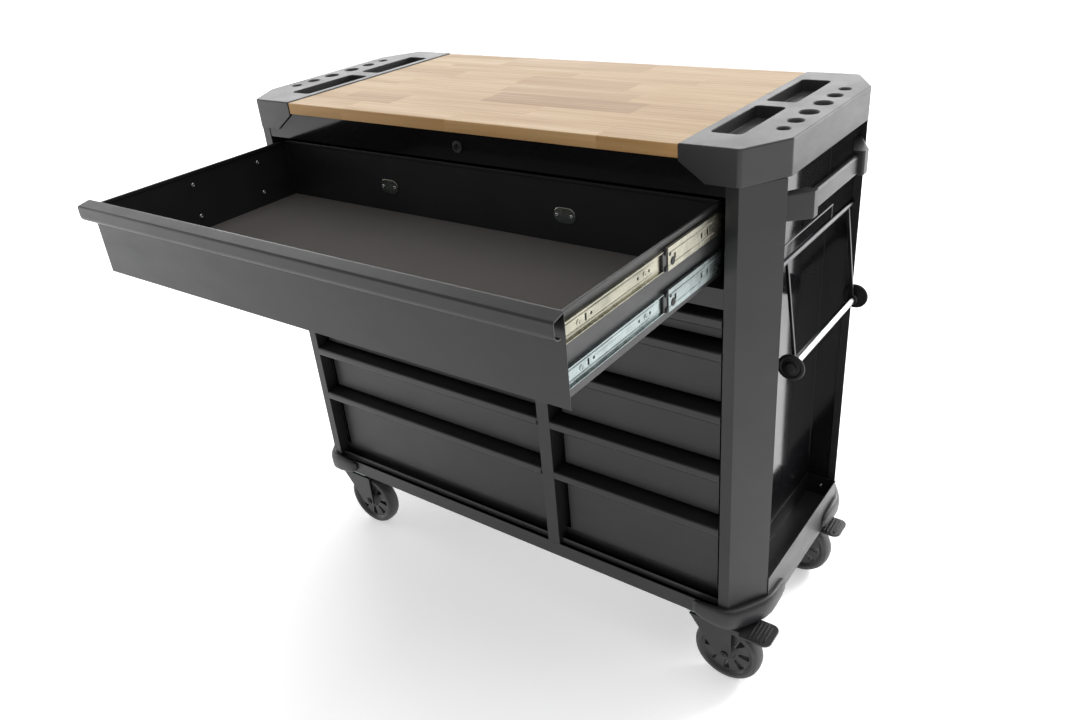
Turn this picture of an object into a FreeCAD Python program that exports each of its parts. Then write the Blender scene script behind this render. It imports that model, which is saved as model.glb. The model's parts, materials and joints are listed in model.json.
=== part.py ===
import FreeCAD, Part
import math
import os
import re

import Sketcher
from FreeCAD import Placement, Rotation, Vector

# A mobile workbench: a steel case on four casters, with one wide drawer over two columns of five
# small ones, a wooden worktop between two moulded end trays, and a handle and a roll holder on the
# right side. Millimetres, +Z up. The pieces are drawn in the case's own frame (X from the middle of
# the case, Y back from the tray fronts, Z up from the floor), and each is then moved so that the
# origin is on the floor under the middle of the whole object, with its top drawer open.

DIMENSIONS = {
    # overall
    "width": 1068, "depth": 460, "height": 980, "sheet": 1.5, "thin": 1.2, "gap": 0.5,
    # case: half width inside the posts, and the front plane of posts and rails
    "case_half": 470.8, "skin_front": 2, "panel_skin": 4.7, "base_low": 139.5, "base_top": 171,
    "base_floor": 2, "case_top": 927,
    # corner posts: end of the narrow front face, outer end of the slanted face, its inner flange
    "bend_x": 490, "post_x": 531.3, "recess_front": 68, "flange": 14, "slant_skin": 1.8,
    "post_return": 28, "panel_return": 30, "end_wall_x": 524,
    # end trays and worktop
    "tray_in": 400, "tray_bend": 491, "tray_slant": 74, "tray_wall": 2.5, "tray_plate": 4,
    "skirt_low": 927, "skirt_high": 955, "skirt_slope_x": 437.5, "skirt_slope_z": 929,
    "tray_corner": 9, "tray_rim": 2.5, "recess_depth": 20, "recess_skin": 3, "recess_corner": 8,
    "recess_a_left": 415, "recess_a_right": 463, "recess_a_front": 65, "recess_a_back": 222,
    "recess_b_left": 416, "recess_b_right": 465, "recess_b_front": 252, "recess_b_back": 402,
    "hole_x": 503, "hole_deep": 10, "hole_small": 20, "hole_middle": 25, "hole_large": 30,
    "hole_one": 113, "hole_two": 157, "hole_three": 206,
    "hole_four": 262, "hole_five": 311, "hole_six": 355,
    "top_half": 399.5, "top_low": 958.5, "top_high": 978.5, "top_front": 1,
    # fascia, lock and rails
    "fascia_low": 911, "fascia_half": 470, "fascia_y": 3, "fascia_return": 24,
    "lock_z": 935, "lock_flange": 10, "lock_body": 8, "lock_bore": 6.1, "lock_plug": 6,
    "lock_front": 0.8, "lock_back": 24, "cam_reach": 18, "cam_half": 5, "cam_thick": 2,
    "key_wide": 1.6, "key_high": 7, "key_deep": 9, "plug_set": 0.4,
    "rail_low": 744, "rail_high": 776, "rail_deep": 30, "divider_left": 110.5, "divider_right": 137,
    "back_face": 457, "kick_lip_y": 10, "kick_lip_top": 183, "kick_y": 27, "kick_top": 198,
    # shelves in the side recesses
    "shelf_out": 533.5, "shelf_low": 137, "shelf_top": 215, "shelf_screw_x": 505, "shelf_screw_z": 195,
    "screw_head": 4, "screw_high": 2, "back_screw_in": 12,
    "back_screw_end": 40,
    # bumpers
    "bumper_front": 9, "bumper_in_y": 1.7, "bumper_in_x": 534.2, "bumper_reach": 542,
    "bumper_start": 420, "bumper_back": 135, "bumper_low": 134, "bumper_high": 178,
    "bumper_bend_in": 490.4, "bumper_bend_out": 494, "bumper_side_y": 63.5, "bumper_round": 4,
    # drawers: travel, lip handle, panel
    "open_travel": 400, "lip_high": 24, "lip_deep": 25.5, "lip_skin": 2, "lip_crease": 4,
    "lip_drop": 4, "lip_level": 20,
    "lip_round": 10, "lip_hook": 13, "lip_back": 30, "panel_back": 42,
    "panel_inset": 13,
    "wide_top": 907, "wide_lip_high": 30, "wide_half": 467, "wide_panel_half": 465.5,
    "wide_low": 782, "wide_deep": 22.5, "wide_box_low": 790, "wide_box_top": 901, "box_back": 422,
    "side_room": 13,
    "hem": 4, "hem_high": 6, "liner": 3, "column_gap": 1.5,
    "row_one_top": 732, "row_one_low": 684, "row_two_top": 677, "row_two_low": 574,
    "row_three_top": 567, "row_three_low": 464, "row_four_top": 457, "row_four_low": 354,
    "row_five_top": 347, "row_five_low": 199, "box_drop": 10, "box_lift": 5, "slide_lift": 24,
    # slides: three nested channels
    "slide_upper": 876.6, "slide_lower": 819, "slide_front": 46, "slide_long": 380,
    "wide_slide_front": 26, "wide_slide_long": 394, "mid_front": 54, "mid_long": 370,
    "mid_travel": 200, "slide_wall": 1.2, "outer_half": 22.75, "mid_half": 15.8,
    "inner_half": 13.5, "outer_lip": 459.6, "mid_web": 463, "mid_lip": 459.8, "inner_lip": 462.4,
    "latch_front": 243, "latch_long": 24, "latch_half": 11.5, "latch_out": 462.6,
    "pin_hole": 4, "slot_wide": 3.5, "slot_tall": 9, "slot_y": 73, "pin_one": 84.5, "pin_two": 188,
    "pin_three": 215, "web_slot_wide": 4.5, "web_slot_tall": 8, "web_slot_one": 18,
    "web_slot_two": 92, "web_slot_three": 109,
    "oval_x": 190, "oval_z": 840, "oval_long": 42, "oval_high": 27, "oval_thick": 1.5,
    "wall_screw_one": 205, "wall_screw_two": 348,
    # push handle and roll holder on the right side
    "bracket_near": 101, "bracket_far": 325, "bracket_wide": 18, "bracket_out": 557.5,
    "bracket_in": 538, "bracket_foot": 523, "bracket_neck": 20, "bracket_low": 861,
    "bracket_high": 899.5, "bracket_round": 4,
    "bar_in": 540, "bar_out": 549, "bar_low": 863, "bar_high": 893, "bar_round": 3,
    "holder_x": 518, "holder_z": 787, "holder_bar": 4.5, "wire_half": 2.3, "arm_near": 112,
    "arm_far": 370, "spur_near": 84, "spur_high": 814, "spur_half": 1.5, "spur_far": 291,
    "spur_thin": 1.35, "wire_bend": 2, "rod_x": 538.5, "rod_z": 619, "rod_round": 6,
    "rod_front": 102, "rod_back": 384,
    "disc_round": 22, "disc_thick": 5, "eye_round": 9, "eye_gap": 0.3,
    # casters
    "wheel_round": 62.5, "wheel_half": 16, "hub_half": 18, "bore": 5.2, "axle": 5,
    "front_caster_y": 27, "rear_caster_y": 361, "caster_x": 447, "trail": 35,
    "hub_round": 14, "web_half": 10, "web_in": 19, "web_out": 45.5, "rim_in": 48, "rim_half": 13.5,
    "tread_in": 52, "tread_side": 14.5, "tread_edge": 58.5, "crown_half": 9, "crown_edge": 61.6,
    "slot_start": 22, "slot_end": 43, "slot_narrow": 2.3, "slot_high": 6, "slot_round": 2,
    "axle_end": 2, "fork_in": 19, "fork_out": 22, "crown_low": 127, "crown_high": 130,
    "crown_back": 34, "crown_end": 48, "leg_foot": 13, "leg_low": 51.5, "leg_round": 10,
    "stem_top": 132.5, "stem_round": 14, "boss_low": 132.7, "boss_round": 16,
    "plate_low": 135, "plate_long": 38, "plate_wide": 22,
    "pivot_x": 55, "pivot_z": 127, "pivot_pin": 2, "pivot_bore": 2.2, "pivot_barrel": 3.7,
    "ear_back": 12, "ear_half": 6, "ear_low": 118, "ear_top": 131, "pedal_end": 119,
    "pedal_half": 28, "pedal_low": 125, "pedal_top": 129, "pedal_start": 64, "pedal_round": 14,
}

DRAWER_ROWS = ("one", "two", "three", "four", "five")
SPOKE_SLOTS = 8
BACK_SCREWS = 4
HOLES = (
    ("one", "small"), ("two", "middle"), ("three", "large"),
    ("four", "large"), ("five", "middle"), ("six", "small"),
)
SHIFT_X = "(bumper_reach - caster_x - pedal_end) / 2"
SHIFT_Y = "(open_travel - depth - bumper_front) / 2"
TURNS = {"x": Rotation(Vector(0, 1, 0), 90), "y": Rotation(Vector(1, 0, 0), -90), "z": Rotation()}
PLANE_AXES = {"XY": (0, 1), "XZ": (0, 2), "YZ": (1, 2)}
SLIDE_DEPTH = "case_half - side_room"
# How far a slanted side's corners move along X or Y when the tray's outline is drawn in by 1 mm.
SLANT_SHARE = 0.6

doc = FreeCAD.newDocument("workbench")
dims = doc.addObject("Spreadsheet::Sheet", "dims")
nodes = []


# ---------------------------------------------------------------- sheet and small builders

def fill_sheet():
    for row, (alias, size) in enumerate(DIMENSIONS.items(), start=1):
        dims.set(f"A{row}", alias)
        dims.set(f"B{row}", str(size))
        dims.setAlias(f"B{row}", alias)
    doc.recompute()


def cells(expression):
    """The expression with each dimension's name turned into its cell of the sheet."""
    def to_cell(match):
        word = match.group(0)
        return f"dims.{word}" if word in DIMENSIONS else word
    return re.sub(r"[a-z_]+", to_cell, str(expression))


def bind(thing, path, expression):
    thing.setExpression(path, cells(expression))


def measure(expression):
    result = dims.evalExpression(cells(expression))
    return float(getattr(result, "Value", result))


def place(thing, x, y, z):
    for axis, expression in zip("xyz", (x, y, z)):
        bind(thing, f"Placement.Base.{axis}", expression)


def block(name, low, high):
    """A box between two corners, each given as three expressions."""
    box = doc.addObject("Part::Box", name)
    for size, start, end in zip(("Length", "Width", "Height"), low, high):
        bind(box, size, f"({end}) - ({start})")
    place(box, *low)
    return box


def rod(name, axis, start, length, radius):
    bar = doc.addObject("Part::Cylinder", name)
    bar.Placement = Placement(Vector(), TURNS[axis])
    bind(bar, "Height", length)
    bind(bar, "Radius", radius)
    place(bar, *start)
    return bar


def draw(sketch, points):
    """A closed outline whose every corner is held by two dimensions from the sheet."""
    places = [Vector(measure(x), measure(y), 0) for x, y in points]
    following = list(range(1, len(points))) + [0]
    for start, after in zip(places, following):
        sketch.addGeometry(Part.LineSegment(start, places[after]))
    for line, after in enumerate(following):
        sketch.addConstraint(Sketcher.Constraint("Coincident", line, 2, after, 1))
    for line, (x, y) in enumerate(points):
        for kind, expression in (("DistanceX", x), ("DistanceY", y)):
            rule = Sketcher.Constraint(kind, -1, 1, line, 1, measure(expression))
            number = sketch.addConstraint(rule)
            bind(sketch, f"Constraints[{number}]", expression)


def start_sketch(name, plane, level, points):
    body = doc.addObject("PartDesign::Body", name)
    sketch = body.newObject("Sketcher::SketchObject", f"{name}_outline")
    origin = next(item for item in body.Origin.OriginFeatures if item.Role == f"{plane}_Plane")
    sketch.AttachmentSupport = (origin, [""])
    sketch.MapMode = "FlatFace"
    bind(sketch, "AttachmentOffset.Base.z", level)
    draw(sketch, points)
    return body, sketch


def long_edges(shape, plane, corners):
    """Names of the edges that run along the extrusion through the given corners."""
    axes = PLANE_AXES[plane]
    names = []
    for number, edge in enumerate(shape.Edges, start=1):
        ends = [[vertex.Point[axis] for axis in axes] for vertex in edge.Vertexes]
        for corner in corners:
            if len(ends) == 2 and all(math.dist(end, corner) < 0.01 for end in ends):
                names.append(f"Edge{number}")
    return names


def top_edges(shape, height):
    names = []
    for number, edge in enumerate(shape.Edges, start=1):
        if all(abs(vertex.Z - height) < 0.01 for vertex in edge.Vertexes):
            names.append(f"Edge{number}")
    return names


def fillet(body, radius, names):
    feature = body.newObject("PartDesign::Fillet", f"{body.Name}_fillet")
    feature.Base = (body.Group[-2], names)
    bind(feature, "Radius", radius)
    body.Tip = feature
    doc.recompute()


def prism(name, plane, low, high, points, rounds=()):
    """An outline extruded from low to high; rounds is (radius, corner numbers) pairs."""
    level = f"-({high})" if plane == "XZ" else low
    body, sketch = start_sketch(name, plane, level, points)
    pad = body.newObject("PartDesign::Pad", f"{name}_pad")
    pad.Profile = sketch
    bind(pad, "Length", f"({high}) - ({low})")
    body.Tip = pad
    if rounds:
        doc.recompute()
    for radius, numbers in rounds:
        corners = [[measure(item) for item in points[number]] for number in numbers]
        fillet(body, radius, long_edges(body.Tip.Shape, plane, corners))
    return body


def join(name, *things):
    result = doc.addObject("Part::MultiFuse", name)
    result.Shapes = list(things)
    result.Refine = True
    return result


def cut(name, base, *tools):
    result = doc.addObject("Part::Cut", name)
    result.Base = base
    result.Tool = tools[0] if len(tools) == 1 else group(f"{name}_tools", *tools)
    return result


def group(name, *things):
    result = doc.addObject("Part::Compound", name)
    result.Links = list(things)
    return result


def moved(thing, x, y, z):
    twin = group(f"{thing.Name}_at", thing)
    place(twin, x, y, z)
    return twin


def mirrored(thing, across):
    """The mirror image across the case's middle, left to right (x) or front to back (y)."""
    image = doc.addObject("Part::Mirroring", f"{thing.Name}_mirror")
    image.Source = thing
    image.Normal = Vector(1, 0, 0) if across == "x" else Vector(0, 1, 0)
    if across == "y":
        bind(image, "Base.y", "depth / 2")
    return image


def four_corners(thing):
    front = group(f"{thing.Name}_front", thing, mirrored(thing, "x"))
    return group(f"{thing.Name}_all", front, mirrored(front, "y"))


def node(label, *things):
    """Keep a sub-part under its name and move it to the object's own frame."""
    part = group(label, *things)
    part.Label = label
    place(part, SHIFT_X, SHIFT_Y, 0)
    nodes.append(part)


# ---------------------------------------------------------------- worktop and end trays

def make_worktop():
    node("worktop", block(
        "top_board",
        ("-top_half", "top_front", "top_low"), ("top_half", "depth - top_front", "top_high"),
    ))


def tray_outline(inset):
    """The tray seen from above, drawn in by the given amount."""
    slant = f"{inset} * {SLANT_SHARE}"
    return [
        (f"tray_in + {inset}", inset), (f"tray_bend - {slant}", inset),
        (f"width / 2 - {inset}", f"tray_slant + {slant}"),
        (f"width / 2 - {inset}", f"depth - tray_slant - {slant}"),
        (f"tray_bend - {slant}", f"depth - {inset}"), (f"tray_in + {inset}", f"depth - {inset}"),
    ]


def rectangle(left, right, front, back):
    return [(left, front), (right, front), (right, back), (left, back)]


def make_trays():
    shell = prism(
        "tray_shell", "XY", "skirt_low", "height", tray_outline("0"),
        [("tray_corner", (1, 2, 3, 4))],
    )
    fillet(shell, "tray_rim", top_edges(shell.Tip.Shape, measure("height")))
    inside = prism("tray_inside", "XY", "skirt_low - 1", "height - tray_plate",
                   tray_outline("tray_wall"))
    over_fascia = block("tray_over_fascia", ("tray_in - 1", "tray_wall", "skirt_low - 1"),
                        ("tray_in + tray_wall", "depth - tray_wall", "top_low"))
    slope = prism("tray_slope", "XZ", "-1", "depth + 1", [
        ("tray_in - 1", "skirt_low - 1"), ("skirt_slope_x + 3", "skirt_low - 1"),
        ("skirt_slope_x", "skirt_slope_z"), ("tray_in", "skirt_high"), ("tray_in - 1", "skirt_high"),
    ])
    slope_ends = cut("tray_slope_ends", slope, block(
        "tray_slope_middle", ("tray_in - 2", "tray_wall", "skirt_low - 2"),
        ("skirt_slope_x + 4", "depth - tray_wall", "skirt_high + 1"),
    ))
    hollow = cut("tray_hollow", shell, inside, over_fascia, slope_ends)
    tubs = []
    wells = []
    for spot in ("a", "b"):
        sides = [f"recess_{spot}_{side}" for side in ("left", "right", "front", "back")]
        outer = [f"{side} {sign} recess_skin" for side, sign in zip(sides, "-+-+")]
        floor = "height - recess_depth"
        tubs.append(prism(
            f"tub_{spot}", "XY", f"{floor} - recess_skin", "height - tray_plate / 2",
            rectangle(*outer), [("recess_corner + recess_skin", (0, 1, 2, 3))],
        ))
        wells.append(prism(f"well_{spot}", "XY", floor, "height + 1", rectangle(*sides),
                           [("recess_corner", (0, 1, 2, 3))]))
    for place_name, size_name in HOLES:
        wells.append(rod(
            f"tool_hole_{place_name}", "z", ("hole_x", f"hole_{place_name}", "height - hole_deep"),
            "2 * hole_deep", f"hole_{size_name} / 2",
        ))
    tray = cut("tray", join("tray_with_tubs", hollow, *tubs), *wells)
    node("tray_right", tray)
    node("tray_left", mirrored(tray, "x"))


# ---------------------------------------------------------------- case

def make_posts():
    rise = "(post_x - bend_x) * sheet / (recess_front - skin_front)"
    post = prism("post", "XY", "base_top", "case_top", [
        ("case_half", "post_return"), ("case_half", "skin_front"), ("bend_x", "skin_front"),
        ("post_x", "recess_front"), ("post_x - flange", "recess_front"),
        ("post_x - flange", "recess_front - sheet"),
        (f"post_x - {rise} - slant_skin", "recess_front - sheet"),
        (f"bend_x + {rise} - slant_skin", "skin_front + sheet"),
        ("case_half + sheet", "skin_front + sheet"), ("case_half + sheet", "post_return"),
    ])
    rear = mirrored(post, "y")
    node("post_front_right", post)
    node("post_front_left", mirrored(post, "x"))
    node("post_rear_right", rear)
    node("post_rear_left", mirrored(rear, "x"))


def make_side_panels():
    wall = "recess_front - 2 * sheet"
    near = [
        ("case_half + panel_skin", wall), ("end_wall_x", wall),
        ("end_wall_x", "recess_front - sheet"), ("case_half + panel_skin", "recess_front - sheet"),
    ]
    far = [(x, f"depth - ({y})") for x, y in reversed(near)]
    panel = prism("side_pan", "XY", "base_top", "case_top - gap", [
        ("case_half", "panel_return"), ("case_half + panel_skin", "panel_return"), *near, *far,
        ("case_half + panel_skin", "depth - panel_return"), ("case_half", "depth - panel_return"),
    ])
    node("side_panel_right", panel)
    node("side_panel_left", mirrored(panel, "x"))


def make_back_and_top():
    node("back_panel", block(
        "back_sheet", ("-case_half", "back_face - sheet", "base_top"),
        ("case_half", "back_face", "top_low - sheet"),
    ))
    brim = "case_top - sheet"
    half = "tray_in - gap"
    right = [
        ("case_half", "case_top"), ("case_half", brim), (f"{half} - sheet", brim),
        (f"{half} - sheet", "top_low - sheet"),
    ]
    left = [(f"-({x})", z) for x, z in reversed(right)]
    node("top_frame", prism(
        "top_hat", "XZ", "fascia_y + sheet", "back_face - sheet",
        [("tray_in - gap", "case_top"), *right, *left, ("gap - tray_in", "case_top"),
         ("gap - tray_in", "top_low"), ("tray_in - gap", "top_low")],
    ))


def make_base():
    front = [("bend_x", "skin_front"), ("post_x", "recess_front")]
    right = front + [(x, f"depth - {y}") for x, y in reversed(front)]
    outline = right + [(f"-{x}", y) for x, y in reversed(right)]
    tub = prism("base_tub", "XY", "base_low", "base_top", outline)
    inside = [(f"{x} - slant_skin" if x[0] != "-" else f"{x} + slant_skin",
               f"{y} + sheet" if "depth" not in y else f"{y} - sheet") for x, y in outline]
    node("base_frame", cut("base_open", tub, prism(
        "base_inside", "XY", "base_low + base_floor", "base_top + 1", inside,
    )))
    pan = block("pan_sheet", ("-case_half", "skin_front + sheet", "base_top - sheet"),
                ("case_half", "back_face - sheet", "base_top"))
    lips = [
        block(f"pan_lip_{side}", (left, "kick_lip_y", "base_top - sheet"),
              (right, "kick_lip_y + sheet", "kick_lip_top"))
        for side, left, right in columns()
    ]
    node("bottom_pan", join("pan", pan, *lips))
    node("kick_strip", *[
        block(f"kick_{side}", (left, "kick_y", "base_top"), (right, "kick_y + sheet", "kick_top"))
        for side, left, right in columns()
    ])


def columns():
    return (("left", "-case_half", "divider_left"), ("right", "divider_right", "case_half"))


def channel(name, low, high):
    """A folded rail across the case: a front face with two flanges that run back."""
    back = "skin_front + rail_deep"
    return prism(name, "YZ", "-case_half", "case_half", [
        ("skin_front", low), ("skin_front", high), (back, high), (back, f"{high} - sheet"),
        ("skin_front + sheet", f"{high} - sheet"), ("skin_front + sheet", f"{low} + sheet"),
        (back, f"{low} + sheet"), (back, low),
    ])


def make_rails():
    node("cross_rail", channel("rail", "rail_low", "rail_high"))
    rear = "back_face - sheet"
    node("divider", prism("divider_fold", "XY", "base_top", "rail_low", [
        ("divider_left", rear), ("divider_left", "skin_front"), ("divider_right", "skin_front"),
        ("divider_right", rear), ("divider_right - sheet", rear),
        ("divider_right - sheet", "skin_front + sheet"),
        ("divider_left + sheet", "skin_front + sheet"), ("divider_left + sheet", rear),
    ]))


def make_fascia_and_lock():
    face = block("fascia_face", ("-fascia_half", "fascia_y", "fascia_low"),
                 ("fascia_half", "fascia_y + sheet", "top_low"))
    fold = block("fascia_fold", ("-fascia_half", "fascia_y", "fascia_low"),
                 ("fascia_half", "fascia_return", "fascia_low + sheet"))
    opening = rod("fascia_hole", "y", (0, 0, "lock_z"), "10", "lock_body")
    node("top_fascia", cut("fascia", join("fascia_bent", face, fold), opening))
    flange = rod("lock_rim", "y", (0, "lock_front", "lock_z"), "fascia_y - lock_front", "lock_flange")
    barrel = rod("lock_barrel", "y", (0, "fascia_y", "lock_z"), "lock_back - fascia_y", "lock_body")
    bore = rod("lock_hole", "y", (0, -1, "lock_z"), "lock_back + 2", "lock_bore")
    node("lock_housing", cut("lock_case", join("lock_outer", flange, barrel), bore))
    plug = rod("lock_core", "y", (0, "lock_front + plug_set", "lock_z"),
               "lock_back + cam_thick - lock_front", "lock_plug")
    cam = block("lock_cam", ("-cam_half", "lock_back + plug_set", "lock_z - cam_reach"),
                ("cam_half", "lock_back + cam_thick + plug_set", "lock_z + cam_half"))
    keyway = block("lock_keyway", ("-key_wide / 2", "lock_front", "lock_z - key_high / 2"),
                   ("key_wide / 2", "lock_front + key_deep", "lock_z + key_high / 2"))
    node("lock_cylinder", cut("lock_keyed", join("lock_turning", plug, cam), keyway))


def make_shelves():
    inner = "case_half + panel_skin"
    back = "depth - recess_front"
    outside = block("shelf_outside", (inner, "recess_front", "base_top"),
                    ("shelf_out", back, "shelf_top"))
    room = block("shelf_room", (f"{inner} + sheet", "recess_front + sheet", "base_top + sheet"),
                 ("shelf_out - 2", f"{back} - sheet", "shelf_top + 1"))
    skirt = block("shelf_skirt", ("shelf_out - 2", "recess_front", "shelf_low"),
                  ("shelf_out", back, "shelf_top"))
    shelf = join("shelf", cut("shelf_open", outside, room), skirt)
    node("side_shelf_right", shelf)
    node("side_shelf_left", mirrored(shelf, "x"))


def make_case_screws():
    heads = []
    for side in (1, -1):
        spot = (f"{side} * shelf_screw_x", "depth - recess_front - sheet - screw_high", "shelf_screw_z")
        heads.append(rod("shelf_screw", "y", spot, "screw_high", "screw_head"))
        for level in range(BACK_SCREWS):
            step = f"(case_top - base_top - 2 * back_screw_end) / {BACK_SCREWS - 1}"
            height = f"base_top + back_screw_end + {level} * {step}"
            spot = (f"{side} * (case_half - back_screw_in)", "back_face", height)
            heads.append(rod("back_screw", "y", spot, "screw_high", "screw_head"))
    node("case_screws", *heads)


def make_bumpers():
    bumper = prism("bumper", "XY", "bumper_low", "bumper_high", [
        ("bumper_start", "bumper_in_y"), ("bumper_start", "-bumper_front"),
        ("bumper_bend_out", "-bumper_front"), ("bumper_reach", "bumper_side_y"),
        ("bumper_reach", "bumper_back"), ("bumper_in_x", "bumper_back"),
        ("bumper_in_x", "recess_front"), ("bumper_bend_in", "bumper_in_y"),
    ], [("2 * bumper_round", (2, 3)), ("bumper_round", (1, 4))])
    node("corner_bumpers", four_corners(bumper))


# ---------------------------------------------------------------- slides

def slide_channel(name, web, lip, half, front, length):
    """One member of a slide on the right side: a web with two lips turned to the other side."""
    turn = 1 if measure(lip) > measure(web) else -1
    inner = f"{web} + {turn} * slide_wall"
    member = prism(name, "XZ", front, f"{front} + {length}", [
        (web, f"-({half})"), (lip, f"-({half})"), (lip, f"slide_wall - {half}"),
        (inner, f"slide_wall - {half}"), (inner, f"{half} - slide_wall"),
        (lip, f"{half} - slide_wall"), (lip, half), (web, half),
    ])
    return member


def on_both_sides(name, member, y):
    """A member at the two slide heights of the wide drawer, on its left and its right."""
    pair = [moved(member, 0, y, height) for height in ("slide_upper", "slide_lower")]
    right = group(name, *pair)
    return group(f"{name}_both", right, mirrored(right, "x"))


def pierced(name, member, web, pins, slots, slot_size):
    """A member with round holes and upright slots through its web, each at its own Y."""
    wide, tall = slot_size
    cutters = [rod(f"{name}_pin", "x", (f"{web} - slide_wall", y, 0), "3 * slide_wall",
                   "pin_hole / 2") for y in pins]
    for y in slots:
        cutters.append(block(
            f"{name}_slot", (f"{web} - slide_wall", f"{y} - {wide} / 2", f"-{tall} / 2"),
            (f"{web} + 2 * slide_wall", f"{y} + {wide} / 2", f"{tall} / 2"),
        ))
    return cut(name, member, *cutters)


def make_slides():
    outer = slide_channel("outer_member", "case_half", "outer_lip", "outer_half", "slide_front",
                          "slide_long")
    runner = slide_channel("runner_member", "case_half", "outer_lip", "mid_half", "slide_front",
                           "slide_long")
    runners = [on_both_sides("outer_pair", outer, 0)]
    image = mirrored(runner, "x")
    for row in DRAWER_ROWS:
        height = f"row_{row}_low + slide_lift"
        runners.append(moved(runner, 0, 0, height))
        runners.append(moved(runner, "divider_left - case_half", 0, height))
        runners.append(moved(image, 0, 0, height))
        runners.append(moved(image, "divider_right + case_half", 0, height))
    node("cabinet_slides", *runners)
    middle = slide_channel("middle_member", "mid_web + slide_wall", "mid_lip", "mid_half",
                           "mid_front", "mid_long")
    slots = [f"mid_front + web_slot_{number}" for number in ("one", "two", "three")]
    middle = pierced("middle_cut", middle, "mid_web", [], slots, ("web_slot_wide", "web_slot_tall"))
    node("middle_slides", on_both_sides("middle_pair", middle, "-mid_travel"))
    inner = slide_channel("inner_member", SLIDE_DEPTH, "inner_lip", "inner_half", "slide_front",
                          "slide_long")
    wide_inner = slide_channel("wide_inner_member", SLIDE_DEPTH, "inner_lip", "inner_half",
                               "wide_slide_front", "wide_slide_long")
    wide_inner = pierced("wide_inner_cut", wide_inner, SLIDE_DEPTH,
                         ["pin_one", "pin_two", "pin_three"], ["slot_y"],
                         ("slot_wide", "slot_tall"))
    node("top_drawer_slides", on_both_sides("inner_pair", wide_inner, "-open_travel"))
    latch = block("latch", (f"{SLIDE_DEPTH} + slide_wall", "latch_front", "-latch_half"),
                  ("latch_out", "latch_front + latch_long", "latch_half"))
    node("slide_latches", on_both_sides("latch_pair", latch, "-open_travel"))
    return inner


# ---------------------------------------------------------------- drawers

def lip(name, left, right, top, high, back):
    """The curled handle: a strip that slopes forward, creases down and hooks back under itself."""
    return prism(name, "YZ", left, right, [
        (back, top), ("lip_level", top), (0, f"{top} - lip_drop"), (0, f"{top} - {high}"),
        ("lip_hook", f"{top} - {high}"), ("lip_hook", f"{top} - {high} + lip_skin"),
        ("lip_skin", f"{top} - {high} + lip_skin"), ("lip_skin", f"{top} - lip_drop - lip_skin"),
        ("lip_level", f"{top} - lip_skin"), (back, f"{top} - lip_skin"),
    ], [("lip_crease", (2,)), ("lip_round", (3,)), ("lip_round - lip_skin", (6,))])


def pan(name, low, high):
    """A drawer front: a folded sheet, open at the back, between two corners."""
    inner_low = (f"{low[0]} + sheet", f"{low[1]} + sheet", f"{low[2]} + sheet")
    inner_high = (f"{high[0]} - sheet", f"{high[1]} + 1", f"{high[2]} - sheet")
    return cut(name, block(f"{name}_outside", low, high),
               block(f"{name}_inside", inner_low, inner_high))


def tub(name, left, right, low, top, front):
    """A drawer box with hemmed walls, open at the top."""
    outside = block(f"{name}_outside", (left, front, low), (right, "box_back", top))
    room = block(f"{name}_room", (f"{left} + thin", f"{front} + thin", f"{low} + thin"),
                 (f"{right} - thin", "box_back - thin", f"{top} - hem_high"))
    mouth = block(f"{name}_mouth", (f"{left} + hem", f"{front} + hem", f"{top} - hem_high - 1"),
                  (f"{right} - hem", "box_back - hem", f"{top} + 1"))
    return cut(name, outside, join(f"{name}_hollow", room, mouth))


def opened(thing):
    return moved(thing, 0, "-open_travel", 0)


def make_top_drawer():
    front = "(wide_deep + sheet)"
    node("top_drawer_handle", opened(lip("wide_lip", "-wide_half", "wide_half", "wide_top",
                                         "wide_lip_high", front)))
    node("top_drawer_front", opened(block(
        "wide_front", ("-wide_panel_half", "wide_deep", "wide_low"),
        ("wide_panel_half", front, "wide_top - lip_skin"),
    )))
    half = f"({SLIDE_DEPTH})"
    node("top_drawer_box", opened(tub("wide_box", f"-{half}", half, "wide_box_low",
                                      "wide_box_top", front)))
    node("top_drawer_liner", opened(block(
        "wide_liner", (f"thin + gap - {half}", f"{front} + thin + gap", "wide_box_low + thin"),
        (f"{half} - thin - gap", "box_back - thin - gap", "wide_box_low + thin + liner"),
    )))
    fittings = []
    face = "box_back - thin - oval_thick"
    for side in (1, -1):
        fittings.append(oval_plate(f"{side} * oval_x", face))
        for spot in ("one", "two"):
            for height in ("slide_upper", "slide_lower"):
                start = f"{half} - thin - screw_high" if side > 0 else f"thin - {half}"
                fittings.append(rod("wall_screw", "x", (start, f"wall_screw_{spot}", height),
                                    "screw_high", "screw_head"))
    node("top_drawer_fittings", opened(group("fittings", *fittings)))


def oval_plate(x, face):
    straight = "(oval_long - oval_high) / 2"
    parts = [block("oval_middle", (f"{x} - {straight}", face, "oval_z - oval_high / 2"),
                   (f"{x} + {straight}", "box_back - thin", "oval_z + oval_high / 2"))]
    for end in ("-", "+"):
        parts.append(rod("oval_end", "y", (f"{x} {end} {straight}", face, "oval_z"), "oval_thick",
                         "oval_high / 2"))
    return join("oval", *parts)


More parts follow.
